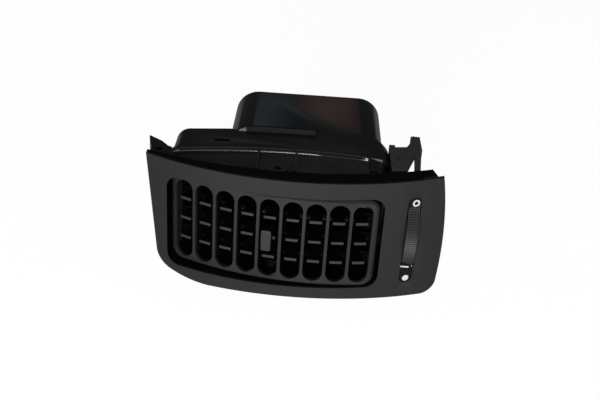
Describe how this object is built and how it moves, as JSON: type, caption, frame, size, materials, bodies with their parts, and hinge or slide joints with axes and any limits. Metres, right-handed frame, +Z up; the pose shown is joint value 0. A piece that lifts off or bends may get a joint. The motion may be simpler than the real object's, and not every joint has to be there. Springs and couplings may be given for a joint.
{
  "type": "dashboard air vent",
  "caption": "Bowed dashboard air vent with a slotted swivel grille, tilting blades, a damper thumbwheel and a duct collar behind.",
  "frame": {"origin": "under the middle of the whole vent, at its lowest point", "axes": "+X to the right seen from the cabin, +Y into the dashboard, +Z up"},
  "size_m": [0.2015, 0.136, 0.0916],
  "materials": {
    "panel_plastic": "fine matte grain",
    "grille_plastic": "satin",
    "blade_plastic": "satin",
    "knob_plastic": "satin",
    "wheel_plastic": "ribbed satin",
    "housing_plastic": "gloss black moulding",
    "flap_plastic": "satin",
    "link_plastic": "satin",
    "soft_seal": "soft matte",
    "steel": "plain"
  },
  "bodies": {
    "housing": {"face_panel": "panel_plastic", "front_housing": "housing_plastic", "mounting_ear": "housing_plastic", "ear_screw": "steel", "rear_housing": "housing_plastic", "friction_washer": "soft_seal", "wheel_axle": "steel", "wheel_bracket": "housing_plastic", "bracket_screws": "steel"},
    "grille": {"grille_frame": "grille_plastic", "grille_pivot_pins": "steel", "left_blade_carrier": "grille_plastic", "right_blade_carrier": "grille_plastic"},
    "blade_upper": {"upper_blade": "blade_plastic"},
    "blade_middle": {"middle_blade": "blade_plastic", "blade_knob": "knob_plastic"},
    "blade_lower": {"lower_blade": "blade_plastic"},
    "link": {"blade_link": "link_plastic"},
    "wheel": {"thumbwheel": "wheel_plastic", "wheel_rod_clip": "steel"},
    "rod": {"control_rod": "link_plastic"},
    "damper": {"damper_flap": "flap_plastic", "damper_seal": "soft_seal", "damper_shaft": "steel", "damper_lever": "link_plastic", "lever_screw": "steel", "lever_rod_clip": "steel"}
  },
  "joints": [
    {"name": "grille_swivel", "type": "hinge", "parent": "housing", "child": "grille", "pos_m": [-0.01167, -0.04517, 0.0118], "axis": [0, 0, 1], "range_deg": [-6.3, 13.7]},
    {"name": "middle_blade_tilt", "type": "hinge", "parent": "grille", "child": "blade_middle", "pos_m": [-0.01082, -0.03994, 0.0438], "axis": [0.9872, -0.1592, 0], "range_deg": [-25, 25]},
    {"name": "upper_blade_tilt", "type": "hinge", "parent": "grille", "child": "blade_upper", "pos_m": [-0.01082, -0.03994, 0.0584], "axis": [0.9872, -0.1592, 0], "range_deg": [-25, 25]},
    {"name": "lower_blade_tilt", "type": "hinge", "parent": "grille", "child": "blade_lower", "pos_m": [-0.01082, -0.03994, 0.0292], "axis": [0.9872, -0.1592, 0], "range_deg": [-25, 25]},
    {"name": "blade_link_pivot", "type": "hinge", "parent": "blade_middle", "child": "link", "pos_m": [-0.00192, -0.03125, 0.0438], "axis": [0.9872, -0.1592, 0], "range_deg": [-25, 25]},
    {"name": "thumbwheel_turn", "type": "hinge", "parent": "housing", "child": "wheel", "pos_m": [0.07795, -0.02376, 0.0467], "axis": [-1, 0, 0], "range_deg": [0, 75]},
    {"name": "control_rod_pivot", "type": "hinge", "parent": "wheel", "child": "rod", "pos_m": [0.07165, -0.03335, 0.0569], "axis": [-1, 0, 0], "range_deg": [-75, 0]},
    {"name": "damper_turn", "type": "hinge", "parent": "housing", "child": "damper", "pos_m": [0.00566, 0.027, 0.0518], "axis": [-1, 0, 0], "range_deg": [0, 75]}
  ],
  "couplings": [
    {"joint": "upper_blade_tilt", "follows": "middle_blade_tilt", "ratio": 1},
    {"joint": "lower_blade_tilt", "follows": "middle_blade_tilt", "ratio": 1},
    {"joint": "blade_link_pivot", "follows": "middle_blade_tilt", "ratio": -1},
    {"joint": "control_rod_pivot", "follows": "thumbwheel_turn", "ratio": -1},
    {"joint": "damper_turn", "follows": "thumbwheel_turn", "ratio": 1}
  ]
}
